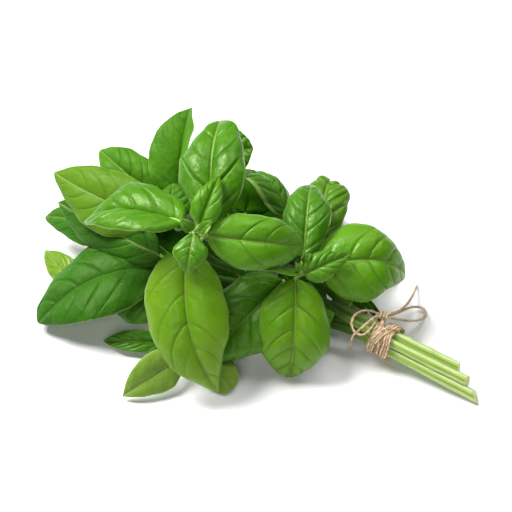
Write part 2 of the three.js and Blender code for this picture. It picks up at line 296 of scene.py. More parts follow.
def blend(w, start, leave, end, arrive):  # at share w of a cubic with these ends and end slopes
    return (
        (2 * w**3 - 3 * w**2 + 1) * start
        + (w**3 - 2 * w**2 + w) * leave
        + (3 * w**2 - 2 * w**3) * end
        + (w**3 - w**2) * arrive
    )


def smoothRoute(points, count):  # centripetal, through the points, evenly spaced
    points = np.array(points, float)
    padded = np.vstack([2 * points[0] - points[1], points, 2 * points[-1] - points[-2]])
    spans = len(points) - 1
    dense = []
    for t in np.linspace(0, spans, 24 * spans + 1):
        k = min(int(t), spans - 1)
        p = padded[k:k + 4]
        a, b, c = np.sqrt(np.linalg.norm(np.diff(p, axis=0), axis=1))
        leave = ((p[1] - p[0]) / a - (p[2] - p[0]) / (a + b) + (p[2] - p[1]) / b) * b
        arrive = ((p[2] - p[1]) / b - (p[3] - p[1]) / (b + c) + (p[3] - p[2]) / c) * b
        dense.append(blend(t - k, p[1], leave, p[2], arrive))
    return evenly(np.array(dense), count)


def evenly(points, count):
    gone = np.concatenate([[0], np.cumsum(np.linalg.norm(np.diff(points, axis=0), axis=1))])
    places = np.linspace(0, gone[-1], count)
    return np.stack([np.interp(places, gone, points[:, axis]) for axis in range(3)], axis=1)


def routeLength(points):
    return float(np.linalg.norm(np.diff(points, axis=0), axis=1).sum())


def routeMesh(name, routes, values=None):  # edges along each route, for a geometry tool
    mesh = bpy.data.meshes.new(name)
    points = np.vstack(routes)
    edges, first = [], 0
    for route in routes:
        edges += [(first + k, first + k + 1) for k in range(len(route) - 1)]
        first += len(route)
    mesh.from_pydata(points.tolist(), edges, [])
    for label, numbers in (values or {}).items():
        setValues(mesh, label, numbers)
    return mesh


def unitVectors(points):
    return points / np.maximum(np.linalg.norm(points, axis=-1, keepdims=True), 1e-12)


def addTube(points, faces, slots, route, radii, slot, sides=10):  # closed, along the route
    first = len(points)
    way = unitVectors(np.gradient(route, axis=0))
    across = np.cross(way[0], (0.3, 0.2, 0.93))  # no route starts that way
    for k in range(len(route)):
        across = across - way[k] * (across @ way[k])
        across = across / np.linalg.norm(across)
        over = np.cross(way[k], across)
        for side in range(sides):
            angle = math.tau * side / sides
            points.append(route[k] + radii[k] * (across * math.cos(angle) + over * math.sin(angle)))
    for k in range(len(route) - 1):
        for side in range(sides):
            a, b = first + k * sides + side, first + k * sides + (side + 1) % sides
            faces.append((a, b, b + sides, a + sides))
            slots.append(slot)
    last = first + (len(route) - 1) * sides
    faces.append(tuple(first + side for side in reversed(range(sides))))
    faces.append(tuple(last + side for side in range(sides)))
    slots += [slot, slot]


# twine

twine = {
    "diameter": 1.3 * mm,
    "ply": 0.34,  # each of the two plies' radius, as a share of the diameter
    "apart": 0.16,  # their centres from the middle
    "lay": 6.0 * mm,  # one full turn of the plies
    "sides": 12,
    "step": 0.35 * mm,
    "fray": 0.05 * mm,  # how rough the plies' skin is
    "seed": 4,
}
fibres = {
    "perArea": 0.8e6,
    "length": 2.4 * mm,
    "radius": 0.03 * mm,
    "seed": 7,
    "frayed": 9,  # at each bare end
    "frayLength": 2.2 * mm,
    "fraySpread": 0.3 * mm,  # how far from the twine's end they start
    "frayBend": 0.1 * mm,
    "splay": 0.45,
}


def twineMaterial(name, light, dark, yellow):
    material, g = newMaterial(name)
    place, along, around = g.place(), g.read("along"), g.read("around")
    # fine threads that run nearly along each ply
    threads = g.noise(g.vector(around * 16 + along * 520, along * 240), 1.0, 3.0)
    patches = g.noise(place, 210.0, 4.0)
    flecks = g.noise(place, 1500.0, 2.0)
    colour = g.mixed(g.step(threads, 0.38, 0.60), dark, light)
    colour = g.mixed(g.step(patches, 0.42, 0.66) * 0.35, colour, yellow)
    colour = g.mixed(g.step(flecks, 0.60, 0.72) * 0.45, colour, dark)
    bump = g.bump(0.7, 0.18 * mm, threads + flecks * 0.35)
    finishMaterial(g, colour, 0.72 + threads * 0.2, 0.25, normal=bump)
    return material


def twistedTwineTool(material):
    g, given = newTool(
        "twistedTwine", twine, ("diameter", "lay", "ply", "apart", "step", "sides", "fray", "seed")
    )
    line, length = evenLine(g, given)
    twist = length / given["lay"] * math.tau
    line = g.node("GeometryNodeSetCurveTilt", {}, {"Curve": line, "Tilt": twist})
    ply = g.circle(given["sides"], given["ply"] * given["diameter"])
    ply = g.store(ply, "around", g.along("Factor"))
    sides = []
    for way in (-1, 1):
        shift = g.vector(given["apart"] * given["diameter"] * way)
        sides.append(g.node("GeometryNodeTransform", {}, {"Geometry": ply, "Translation": shift}))
    plies = g.node("GeometryNodeJoinGeometry", {}, {"Geometry": sides})
    inputs = {"Curve": line, "Profile Curve": plies, "Fill Caps": True}
    swept = g.node("GeometryNodeCurveToMesh", {}, inputs)
    seeded = g.vectorMath("ADD", {0: g.node("GeometryNodeInputPosition"), 1: given["seed"]})
    return endTool(g, roughened(g, swept, seeded, 900.0, given["fray"]), material)


def looseFibreTool(material):
    g, given = newTool("looseFibres", fibres, ("perArea", "length", "radius", "seed"))
    spots = g.node("GeometryNodeDistributePointsOnFaces", {"distribute_method": "RANDOM"}, {
        "Mesh": given["Geometry"], "Density": given["perArea"], "Seed": given["seed"],
    })
    # one bent hair about a unit long, then scaled to its length
    hair = g.node("GeometryNodeCurveQuadraticBezier", {}, {
        "Resolution": 5, "Start": (0, 0, 0), "Middle": (0.35, 0, 0.10), "End": (0.75, 0.28, 0.34),
    })
    scale = g.vector(given["length"], given["length"], given["length"])
    hair = g.node("GeometryNodeTransform", {}, {"Geometry": hair, "Scale": scale})
    hair = g.node("GeometryNodeCurveToMesh", {}, {
        "Curve": hair, "Profile Curve": g.circle(3, given["radius"]),
        "Scale": 1 - g.along("Factor") * 0.75, "Fill Caps": True,
    })
    placed = g.node("GeometryNodeInstanceOnPoints", {}, {
        "Points": spots, "Instance": hair, "Rotation": spots.also("Rotation"),
        "Scale": g.random(0.35, 1.0, 3),
    })
    spin = g.vector(z=g.random(0.0, math.tau, given["seed"]))
    placed = g.node("GeometryNodeRotateInstances", {}, {"Instances": placed, "Rotation": spin})
    return endTool(g, placed, material)


jute = twineMaterial("juteTwine", (0.80, 0.63, 0.42), (0.24, 0.13, 0.065), (0.62, 0.45, 0.24))
juteFibre = twineMaterial("juteFibre", (0.74, 0.56, 0.34), (0.45, 0.29, 0.15), (0.66, 0.50, 0.26))
twistedTwine = twistedTwineTool(jute)
looseFibres = looseFibreTool(juteFibre)


def addTwine(node, routes):
    name = pieceName(node)
    mesh = runTool(name, twistedTwine, routeMesh(name + "Route", routes))
    return addPiece(name, mesh, [node])


# The bow's free lengths, each from the knot outwards, in millimetres. The loops come back to the knot.
bow = {
    "loop_left": {
        "through": [
            (57.7, 21.2, 22.4), (55.1, 19.8, 23.8), (52.4, 17.3, 24.6), (50.6, 11.9, 24.7),
            (51.6, 7.9, 23.6), (54.4, 5.9, 21.4), (58.6, 6.5, 20), (59.8, 11, 19.8), (59.8, 15.6, 20.1),
            (59.1, 19.2, 20.5),
        ],
        "length": 38 * mm,
        "farEnd": "object",
    },
    "loop_right": {
        "through": [
            (64.7, 24.8, 19.2), (66.8, 28.5, 16.1), (69.7, 33.5, 11.8), (72, 41.4, 5.8),
            (71.6, 48.4, 2.3), (68, 52.6, 1.3), (64.4, 49.2, 3.2), (64, 42, 8.8), (64, 34, 14.3),
            (63.5, 26.7, 19),
        ],
        "length": 67 * mm,
        "farEnd": "object",
    },
    "tail_left": {
        "through": [
            (58.6, 19.6, 21.8), (57.5, 14, 22.2), (56.5, 8.9, 21.4), (54, 6.6, 17.3), (53, 6, 9.8),
            (51.4, 7, 3.3),
        ],
        "length": 31 * mm,
        "farEnd": "bare",
    },
    "tail_right": {
        "through": [
            (63.6, 25.9, 21.4), (64.5, 30.1, 18.8), (64.4, 38, 14.8), (62.3, 46.7, 9.6),
            (59.6, 55.5, 4.4), (57, 62.9, 1),
        ],
        "length": 43 * mm,
        "farEnd": "bare",
    },
}


def pieceName(node):  # crown_left becomes crownLeft
    first, *rest = node.split("_")
    return first + "".join(word.capitalize() for word in rest)


bowPoints = 36
bowEasing = 4  # how often each route is evened out, as stiff twine springs out of tight bends


def addBow():
    for node, part in bow.items():
        route = smoothRoute(np.array(part["through"]) * mm, bowPoints)
        for _ in range(bowEasing):
            route[1:-1] = (route[:-2] + 2 * route[1:-1] + route[2:]) / 4
        piece = addTwine(node, [route])
        print("  ", node, "is", round(routeLength(route) / mm, 1), "mm long")


addBow()
print("bow made")


# what the solids say

def solidRings(node, around, outermost):
    # The rings of points that a lofted solid was made of, from the end where outermost is greatest.
    shape = bmesh.new()
    shape.from_mesh(frame["nodes"][node].data)
    bmesh.ops.remove_doubles(shape, verts=shape.verts, dist=0.002 * mm)
    near = {v: {edge.other_vert(v) for edge in v.link_edges} for v in shape.verts}
    # an end joins a whole ring, and each point there joins it, two on its own ring and two on the next
    ends = [v for v in shape.verts if len(near[v]) == around and all(len(near[w]) == 5 for w in near[v])]
    end = max(ends, key=outermost)
    following = {}
    for face in end.link_faces:
        corners = list(face.verts)
        k = corners.index(end)
        following[corners[(k + 1) % 3]] = corners[(k + 2) % 3]
    ring = [min(following, key=lambda v: v.index)]
    while len(ring) < around:
        ring.append(following[ring[-1]])
    rings, seen = [ring], {end, *ring}
    while True:
        ring = [near[a] & near[b] - seen for a, b in zip(ring, ring[1:] + ring[:1])]
        ring = [found.pop() for found in ring if len(found) == 1]
        if len(set(ring)) < around:
            break
        rings.append(ring)
        seen.update(ring)
    places = np.array([[v.co[:] for v in ring] for ring in rings])
    tip = np.array(end.co[:])
    shape.free()
    return places, tip


stemNodes = [n for n in sorted(frame["nodes"]) if n.startswith(("stem_", "branch_"))]
stemLines = {}  # each stem's centre line and radii, from its thick end
for node in stemNodes:
    rings = solidRings(node, 8, lambda v: v.co.x)[0]
    centres = rings.mean(axis=1)
    stemLines[node] = centres, np.linalg.norm(rings[:, 0] - centres, axis=1)
print("stem lines read:", len(stemLines))


# stems

stem = {
    "sides": 28,
    "step": 1.2 * mm,
    "square": 0.05,  # how far the four corners stand out, as a share of the radius
    "groove": 0.05,  # how deep the flats between them are
    "wide": 1.10,  # as a share of the solid's
    "swelling": 0.10,  # at each node
    "swellingWide": 2.2 * mm,
    "between": 34 * mm,  # from node to node
    "lumps": 0.12 * mm,
    "pointEvery": 2 * mm,  # along its line
    "spare": 3 * mm,  # how far it runs on before it is cut
    "leafward": 120 * mm,  # how far from a cut end its leafward value reaches 1, which darkens the stem with painted shade towards the leaves
    "cutShares": (0.82, 0.4),  # the rings of its cut face: a bevelled rim, then a hollow towards the pith
    "cutHollow": 0.25 * mm,
    "rimFade": 0.6,  # how much less each ring counts as the rim
}
cutEnds = {  # how far past the solid's end each stem is cut, and which way its cut looks
    "stem_crown": (0.0 * mm, (1, 0.25, 0.1)),
    "stem_collar": (0.5 * mm, (1, 0.1, 0.25)),
    "stem_front": (-1.8 * mm, (1, 0.75, 0.65)),
    "stem_left": (0.3 * mm, (1, 0.2, 0.1)),
    "stem_back": (0.3 * mm, (1, -0.1, 0.2)),
}


def stemMaterial(name, pale, green, deep):
    material, g = newMaterial(name)
    place, along, leafward = g.place(), g.read("along"), g.read("leafward")
    turn = g.read("around") * math.tau
    ringX, ringY = g.math("COSINE", turn), g.math("SINE", turn)
    streaks = g.noise(g.vector(ringX * 2.2, ringY * 2.2, along * 16), 2.0, 5.0)
    lines = g.noise(g.vector(ringX * 9, ringY * 9, along * 40), 2.0, 3.0)
    blotches = g.noise(place, 70.0, 3.0)
    corners = g.math("COSINE", turn * 4)  # 1 on the four corners, -1 in the grooves
    # the part of the stem under the leaves, where it gets painted shade and a rougher skin
    shaded = g.step(leafward, 0.46, 0.60)
    colour = g.mixed(g.step(streaks + corners * 0.09, 0.36, 0.64), green, pale)
    # darker in the grooves between the corners: painted shade
    colour = g.mixed(g.step(corners, -0.45, -1.0) * 0.60, colour, deep)
    colour = g.mixed(g.step(lines, 0.52, 0.70) * 0.35, colour, deep)
    colour = g.mixed(g.step(blotches, 0.55, 0.75) * 0.40, colour, green)
    # painted shade: the stem turns darker green in two steps towards the leaves, where they shade it
    colour = g.mixed(g.step(leafward, 0.40, 0.48) * 0.6, colour, deep)
    colour = g.mixed(shaded * 0.92, colour, (0.012, 0.060, 0.001))
    rough, bump = 0.42 + lines * 0.16 + shaded * 0.3, g.bump(0.55, 0.2 * mm, lines + blotches * 0.5)
    through = 0.30, (0.9, 1.0, 0.35), 1.2 * mm
    finishMaterial(g, colour, rough, 0.3, (0.9, 1.0, 0.55), bump, through)
    return material


def cutMaterial():
    material, g = newMaterial("cutStem")
    inputs = {"Vector": g.place(), "Scale": 3200.0}
    cells = g.node("ShaderNodeTexVoronoi", {}, inputs, "Distance")
    colour = g.mixed(g.step(g.read("rim"), 0.55, 0.95), (0.62, 0.68, 0.28), (0.36, 0.50, 0.10))
    colour = g.mixed(g.step(cells, 0.25, 0.60) * 0.4, colour, (0.46, 0.55, 0.20))
    bump, through = g.bump(0.5, 0.1 * mm, cells), (0.3, (1.0, 1.0, 0.4), 1.5 * mm)
    finishMaterial(g, colour, 0.42 + cells * 0.2, 0.5, normal=bump, through=through)
    return material


def ribbedStemTool(material):
    g, given = newTool("ribbedStem", stem, ("sides", "step", "square", "groove", "lumps"))
    line = evenLine(g, given)[0]
    thick = g.node("GeometryNodeInputNamedAttribute", {"data_type": "FLOAT"}, {"Name": "thick"})
    factor = g.along("Factor")
    section = g.store(g.circle(given["sides"], 1.0), "around", factor)
    corner = g.math("COSINE", factor * (4 * math.tau))
    inward = g.math("MAXIMUM", 0 - corner, 0.0)
    reach = 1 + g.math("MAXIMUM", corner, 0.0) * given["square"] - inward**2.0 * given["groove"]
    where = g.node("GeometryNodeInputPosition")
    shaped = g.vectorMath("SCALE", {0: where, "Scale": reach})
    section = g.node("GeometryNodeSetPosition", {}, {"Geometry": section, "Position": shaped})
    swept = g.node("GeometryNodeCurveToMesh", {}, {
        "Curve": line, "Profile Curve": section, "Scale": thick, "Fill Caps": True,
    })
    return endTool(g, roughened(g, swept, where, 120.0, given["lumps"]), material)


stemSkin = stemMaterial("basilStem", (0.52, 0.60, 0.31), (0.28, 0.42, 0.06), (0.12, 0.26, 0.012))
stemCut = cutMaterial()
ribbedStem = ribbedStemTool(stemSkin)


def cutSlanted(mesh, end, way):  # cuts a stem across and closes it, and marks the cut's rim
    shape = bmesh.new()
    shape.from_mesh(mesh)
    marks = shape.verts.layers.float.new("rim")
    made = bmesh.ops.bisect_plane(
        shape, geom=shape.verts[:] + shape.edges[:] + shape.faces[:],
        plane_co=end, plane_no=way, clear_outer=True,
    )
    rim = [e for e in made["geom_cut"] if isinstance(e, bmesh.types.BMEdge)]
    corners = [v for v in made["geom_cut"] if isinstance(v, bmesh.types.BMVert)]
    middle = sum((v.co for v in corners), Vector()) / len(corners)
    outer = {v: v.co.copy() for v in corners}
    step = {v: v for v in corners}
    for v in corners:
        v[marks] = 1
    for share in stem["cutShares"]:
        inner = {}
        sunk = way * stem["cutHollow"] * (1 - share)
        for v in corners:
            inner[v] = shape.verts.new(middle.lerp(outer[v], share) - sunk)
            inner[v][marks] = share * stem["rimFade"]
        for edge in rim:
            a, b = edge.verts
            face = shape.faces.new((step[a], step[b], inner[b], inner[a]))
            face.material_index = 1
        step = inner
    centre = shape.verts.new(middle)
    for edge in rim:
        a, b = edge.verts
        shape.faces.new((step[a], step[b], centre)).material_index = 1
    bmesh.ops.recalc_face_normals(shape, faces=shape.faces[:])
    shape.to_mesh(mesh)
    shape.free()
    mesh.materials.append(stemCut)


def addStem(node):
    centres, radii = stemLines[node]
    length = routeLength(centres)
    count = int(length / stem["pointEvery"])
    line = smoothRoute(centres, count)
    thick = np.interp(np.linspace(0, 1, count), np.linspace(0, 1, len(radii)), radii)
    gone = np.linspace(0, length, count)
    phase = sum(map(ord, node)) % 17 * mm  # so that the stems' nodes are not all in line
    fromNode = (gone + phase) % stem["between"] - stem["between"] / 2
    swell = np.exp(-(fromNode / stem["swellingWide"]) ** 2)
    thick = thick * (stem["wide"] + stem["swelling"] * swell)
    if node in cutEnds:
        past, way = cutEnds[node]
        back = unitVectors(line[0] - line[1])
        end = line[0] + back * past
        line[0] = line[0] + back * (past + stem["spare"])
    leafward = np.clip(gone / stem["leafward"], 0, 1) if node in cutEnds else np.ones(count)
    given = {"thick": thick, "leafward": leafward}
    mesh = runTool(pieceName(node), ribbedStem, routeMesh(node, [line], given))
    for vertex in mesh.vertices:
        vertex.co.z = max(vertex.co.z, 0)
    if node in cutEnds:
        cutSlanted(mesh, end, Vector(way).normalized())
    addPiece(pieceName(node), mesh, [node])


for node in stemNodes:
    addStem(node)
print("stems made")


# the tie: twine wound round the stems, and the knot on it

wrap = {
    "layers": (  # turns, where the first one lies, how far on the next, how far they slant and stand out
        (5, -3.6 * mm, 1.45 * mm, 0.3 * mm, 0),
        (3, -1.2 * mm, 1.35 * mm, -2.2 * mm, 0.7 * mm),
        (3, -2.2 * mm, 1.25 * mm, 3.9 * mm, 1.25 * mm),
    ),
    "loose": (1.15, -6.6 * mm, 0.9 * mm),  # a turn by itself on the leaves' side
    "slantFrom": 0.30,  # the share of a turn where one that slants by more than 0 is nearest the leaves
    "uneven": 0.22 * mm,
    "endShare": 0.40,  # how far round the stems the twine's own cut end stands out, below
    "endOut": 1.0 * mm,  # how far out from the turns it starts
    "endAlong": 4.2 * mm,  # and how far towards the cut ends of the stems
    "endInside": 1.5 * mm,  # how far it runs under the turns
    "end": 3.0 * mm,  # how long it is outside them
    "bite": 0.97,  # the stems' radius where the twine presses into them, as a share
    "linePoints": 240,  # along each stem
    "nearPoints": 6,  # to each side of the tie, for the stem's direction
}
stemGap = 0.15 * mm  # between the stems and the twine's middle, besides its radius
outlineParts = 180


def tieFrame():  # the tie's middle, its axes, and where the stems pass through it
    low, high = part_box("twine_wrap")
    middle = np.array((low + high) / 2)
    through, ways = [], []
    for node in stemNodes:
        if node in cutEnds:
            line = smoothRoute(stemLines[node][0], wrap["linePoints"])
            k = int(np.argmin(np.linalg.norm(line - middle, axis=1)))
            near = wrap["nearPoints"]
            through.append(line[k])
            ways.append(line[k - near] - line[k + near])
    axis = unitVectors(np.mean(ways, axis=0))
    across = unitVectors(np.cross((0, 0, 1), axis))
    up = np.cross(axis, across)
    spots = [(float((p - middle) @ across), float((p - middle) @ up)) for p in through]
    return middle, axis, across, up, spots


middle, axis, across, up, spots = tieFrame()
stemRadius = float(np.mean([stemLines[n][1][0] for n in cutEnds])) * wrap["bite"]
innerReach = stemRadius + stemGap + twine["diameter"] / 2


def boundOutline(reach, count):  # once round all the stems, from the top, evenly spaced points
    points = []
    for angle in np.linspace(0.25, 1.25, 2 * outlineParts + 1) * math.tau:
        way = np.array((math.cos(angle), math.sin(angle)))
        points.append(np.array(max(spots, key=lambda s: float(np.array(s) @ way))) + way * reach)
    points = np.array([(x, y, 0) for x, y in points])
    return evenly(points, count)[:, :2]


def roundStems(reach, share, shift):  # the point at a share of the way round, shifted along the stems
    outline = boundOutline(reach, outlineParts + 1)
    place = share * outlineParts
    k = int(place)
    spot = outline[k] * (1 - place + k) + outline[(k + 1) % (outlineParts + 1)] * (place - k)
    return middle + across * spot[0] + up * spot[1] + axis * shift


def windTwine(turns, reach, along, count=64):
    route = []
    for k in range(int(turns * count) + 1):
        turn = k / count
        uneven = wrap["uneven"] * math.sin(5.3 * turn + 2 * math.sin(9.1 * turn))  # repeats nowhere
        route.append(roundStems(reach + uneven, turn % 1, along(turn)))
    return np.array(route)


def addTie():
    routes = []
    for turns, first, step, slant, rise in wrap["layers"]:
        def along(t):
            return first + step * t - slant * math.cos(math.tau * (t - wrap["slantFrom"]))
        routes.append(windTwine(turns, innerReach + rise, along))
    turns, place, drift = wrap["loose"]
    routes.append(windTwine(turns, innerReach, lambda t: place + drift * t))
    start = roundStems(innerReach + wrap["endOut"], wrap["endShare"], wrap["endAlong"])
    out = start + (axis * 0.5 - up * 0.75 - across * 0.45) * wrap["end"]
    bend = start + (axis * 0.35 - up * 0.2) * wrap["end"]
    inside = start - across * wrap["endInside"]
    routes.append(smoothRoute([inside, start, bend, out], 12))
    addTwine("twine_wrap", routes)


addTie()
print("twine wound")

knot = {
    "bulge": 0.7 * mm,  # how far apart the cords' three pairs pass through it
    "turned": 0.6,  # radians
    "straight": 1.2 * mm,  # to each side of its middle
    "coilRadius": 1.75 * mm,
    "coilTurns": 2.3,
    "coilPitch": 1.45 * mm,
    "coilUneven": 0.15 * mm,
    "coilParts": 48,
    "legs": (  # down to the turns: how far round the stems, how far along them, and the bend to the side
        (0.94, -4.62 * mm, 0.8 * mm),
        (0.06, -3.3 * mm, -0.6 * mm),
    ),
    "strands": ((-4.8 * mm, -6.3 * mm), (-4.4 * mm, -4.6 * mm), (-3.4 * mm, 0.6 * mm)),  # where each runs
    "strandShares": (0.05, 0.12, 0.19, 0.26, 0.34, 0.42),  # how far round the stems it passes
    "strandRise": 0.9 * mm,
}


def addKnot():
    low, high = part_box("twine_knot")
    centre = np.array((low + high) / 2)
    starts = {n: np.array(part["through"][0]) * mm for n, part in bow.items()}
    ends = {n: np.array(part["through"][-1]) * mm for n, part in bow.items()}
    pairs = [
        (starts["loop_left"], starts["loop_right"]),
        (ends["loop_left"], ends["loop_right"]),
        (starts["tail_left"], starts["tail_right"]),
    ]
    way = unitVectors(starts["loop_right"] - starts["loop_left"])
    side = unitVectors(np.cross(way, (0, 0, 1)))
    top = np.cross(side, way)
    routes = []
    for k, (a, b) in enumerate(pairs):
        angle = math.tau * k / len(pairs) + knot["turned"]
        inside = centre + (side * math.cos(angle) + top * math.sin(angle)) * knot["bulge"]
        half = way * knot["straight"]
        routes.append(smoothRoute([a, inside - half, inside + half, b], 24))
    coil = []
    for k in range(knot["coilParts"] + 1):
        turn = k / knot["coilParts"] * knot["coilTurns"]
        angle = math.tau * turn
        reach = knot["coilRadius"] + knot["coilUneven"] * math.sin(3 * angle)
        shift = knot["coilPitch"] * (turn - knot["coilTurns"] / 2)
        coil.append(centre + way * shift + (side * math.cos(angle) + top * math.sin(angle)) * reach)
    routes.append(np.array(coil))
    for share, shift, lean in knot["legs"]:
        foot = roundStems(innerReach, share, shift)
        routes.append(smoothRoute([centre, (centre + foot) / 2 + side * lean, foot], 16))
    for start, end in knot["strands"]:  # they fan out from the knot over the other turns
        route = [centre]
        shares = knot["strandShares"]
        for share, shift in zip(shares, np.linspace(start, end, len(shares))):
            route.append(roundStems(innerReach + knot["strandRise"], share, shift))
        routes.append(smoothRoute(route, 30))
    addTwine("twine_knot", routes)


addKnot()
print("knot made")


def addFibres():
    joined = bmesh.new()
    for name in ["twineKnot", "twineWrap", *map(pieceName, bow)]:
        joined.from_mesh(bpy.data.objects[name].data)
    source = bpy.data.meshes.new("twineSurface")
    joined.to_mesh(source)
    joined.free()
    addPiece("twineFibres", runTool("twineFibres", looseFibres, source))


def addFrayedEnds():
    rng = np.random.default_rng(fibres["seed"])
    points, faces, slots = [], [], []
    for part in bow.values():
        if part["farEnd"] != "bare":
            continue
        route = smoothRoute(np.array(part["through"]) * mm, bowPoints)
        way = unitVectors(route[-1] - route[-3])
        for _ in range(fibres["frayed"]):
            spread = rng.normal(0, 1, 3)
            spread = unitVectors(spread - way * (spread @ way))
            start = route[-1] + (spread - way) * fibres["fraySpread"]
            reach = fibres["frayLength"] * rng.uniform(0.4, 1)
            end = start + (way + spread * fibres["splay"] * rng.uniform(0.2, 1)) * reach
            end[2] = max(end[2], floorGap)
            bend = (start + end) / 2 + spread * fibres["frayBend"]
            radii = np.linspace(2, 0.8, 5) * fibres["radius"]
            addTube(points, faces, slots, smoothRoute([start, bend, end], 5), radii, 0, sides=4)
    addPiece("frayedEnds", faceMesh("frayedEnds", points, faces, juteFibre))


addFibres()
addFrayedEnds()
print("fibres made")


# leaves

leaf = {
    "stations": (0, 0.07, 0.2, 0.36, 0.53, 0.7, 0.85, 0.95),  # where the solid has its rings
    "neck": 0.065,  # how much of a stalkless leaf lies before the first of them
    "wide": 1.02,  # as a share of the solid's greatest width
    "baseFullness": 0.55,
    "tipFullness": 0.78,
    "notch": 0,  # how much shorter the right lobe of the tip is, as a share of the half width
    "columns": 22,  # in each half
    "crowding": 1.35,  # over 1, they lie closer near the midrib
    "thickness": 0.32 * mm,
    "ribDepth": 0.85 * mm,  # how far the midrib stands out below, at the base
    "ribWidth": 0.75 * mm,
    "groove": 0.30 * mm,  # how deep it lies above
    "grooveWidth": 0.55 * mm,
    "veins": 5,  # to each side
    "firstVein": 0.06,  # where it leaves the midrib
    "unevenVeins": 0.22,  # as a share of their spacing
    "veinStrength": (0.45, 1.1),  # the least and the most that one shows
    "deepVein": -1,  # the one that shows most, here a short one before the first
    "deepStrength": 2.2,  # times what it would show
    "slant": 0.22,  # how far forward a vein runs on its way to the margin
    "curve": 0.40,
    "sweep": 1.55,
    "unevenSlant": 0.12,
    "waver": 0.006,  # how much a vein wavers, as a share of the blade's length
    "veinGroove": 0.28 * mm,
    "veinWidth": 0.48 * mm,
    "veinShoulder": 0.45,  # how high the blade stands beside a vein, as a share of the groove
    "veinDepth": 0.25 * mm,  # how far a vein stands out below
    "ribPale": 0.45,  # how pale the midrib is
    "tone": 0.42,  # 0 is a deep green, which on the leaves deep inside stands for painted shade, and 1 a yellow green with the light through it
    "rimWide": 0.03,  # how far in the pale rim of painted sheen reaches, as a share of the half width
    "pillow": 0.03,  # how high the blade stands between veins, as a share of its half width
    "pillowFrom": 2.0 * mm,  # how far from the midrib it does
    "pillowCells": 3.2,  # from midrib to margin
    "cushion": 0.07,  # how high each half stands over the midrib and the margin
    "curl": 0.035,  # how far the margin turns down
    "ripple": 0.065,  # how much it waves
    "teeth": 15,
    "toothDepth": 0.014,
    "sag": 0.03,
}
youngLeaf = {
    **leaf, "columns": 14, "thickness": 0.28 * mm, "ribDepth": 0.45 * mm, "ribWidth": 0.5 * mm,
    "groove": 0.35 * mm, "grooveWidth": 0.45 * mm, "veinGroove": 0.13 * mm, "veinWidth": 0.3 * mm,
    "pillow": 0.05, "cushion": 0.10, "teeth": 9, "toothDepth": 0.05, "tipFullness": 0.9,
    "baseFullness": 0.34, "veins": 4, "tone": 0.50,
}
budLeaf = {**youngLeaf, "columns": 8, "teeth": 5, "ribDepth": 0.2 * mm, "groove": 0.15 * mm, "veins": 3}
# where the rows of points lie: shares of the gap from vein to vein, and at both ends of the whole blade
rowShares = (-0.5, -0.36, -0.24, -0.14, -0.075, -0.035, 0, 0.035, 0.075, 0.14, 0.24, 0.36)
endShares = (0, 0.003, 0.010, 0.022, 0.040, 0.965, 0.982, 0.992, 0.997)
manners = {  # what sets a leaf apart from the others
    "crown_upper": {
        "ripple": 0.10, "veins": 4, "pillow": 0.035, "veinGroove": 0.38 * mm, "ribPale": 0.7,
        "tipFullness": 0.60, "rimWide": 0.06, "deepVein": 1,
    },
    "crown_lower": {"pillow": 0.022, "veinGroove": 0.15 * mm, "groove": 0.28 * mm, "tipFullness": 0.93},
    "crown_left": {"pillow": 0.038},
    "crown_right": {
        "pillow": 0.022, "tipFullness": 0.66, "veins": 4, "veinWidth": 0.4 * mm, "ribPale": 0.6,
    },
    "crown_young_lower": {
        "veinGroove": 0.08 * mm, "pillow": 0.02, "cushion": 0.04, "groove": 0.2 * mm, "baseFullness": 0.8,
    },
    "crown_young_upper": {"veinGroove": 0.28 * mm, "pillow": 0.07, "ribPale": 0.3},
    "under_tie": {"wide": 0.42},
    "under_right": {"wide": 1.1, "baseFullness": 0.3},
    "collar_young_right": {"pillow": 0.08, "veins": 5},
    "collar_upper": {"tipFullness": 0.68, "rimWide": 0.08, "pillow": 0.02},
    "collar_right": {
        "pillow": 0.025, "veinGroove": 0.18 * mm, "ripple": 0.03, "baseFullness": 0.44, "wide": 1.07,
    },
    "top_standing": {"pillow": 0.012, "veinGroove": 0.10 * mm, "cushion": 0.04},
    "left_high": {"pillow": 0.015, "veinGroove": 0.10 * mm, "cushion": 0.03, "tipFullness": 0.84},
    "left_strip": {"pillow": 0.04, "cushion": 0.04},
    "left_big": {
        "pillow": 0.02, "cushion": 0.045, "veinGroove": 0.32 * mm, "ribPale": 0.1, "tipFullness": 0.66,
    },
    "low_turned": {"pillow": 0.02, "veinGroove": 0.1 * mm, "ribPale": 1.0, "tipFullness": 0.95},
    "top_inner": {"pillow": 0.01, "veinGroove": 0.04 * mm, "groove": 0.2 * mm, "ribPale": 0},
    "back_high": {"pillow": 0.02, "veinGroove": 0.04 * mm, "ribPale": 0},
    "left_rear": {"pillow": 0.04},
    "collar_lower": {"pillow": 0.035, "tipFullness": 0.64, "ribPale": 0.6},
    "top_crinkled": {"pillow": 0.10, "ripple": 0.09, "tipFullness": 0.42, "notch": 0.45},
    "top_cupped": {"ribPale": 0.0, "pillow": 0.08, "curl": -0.1, "rimWide": 0.2},
    "low_tip": {"tipFullness": 0.32, "baseFullness": 0.45, "pillow": 0.03, "veinGroove": 0.1 * mm},
}
turnedOver = ("low_turned", "low_tip")
inShade = ("top_inner", "back_high", "low_dark")  # besides those underneath
matt = ("left_high", "left_big", "top_standing", "left_rear", "left_far", "left_strip", "top_curved")
backlit = {"left_high": 0.48, "low_turned": 0.7, "low_tip": 0.5, "left_low": 0.5, "top_crinkled": 0.3}
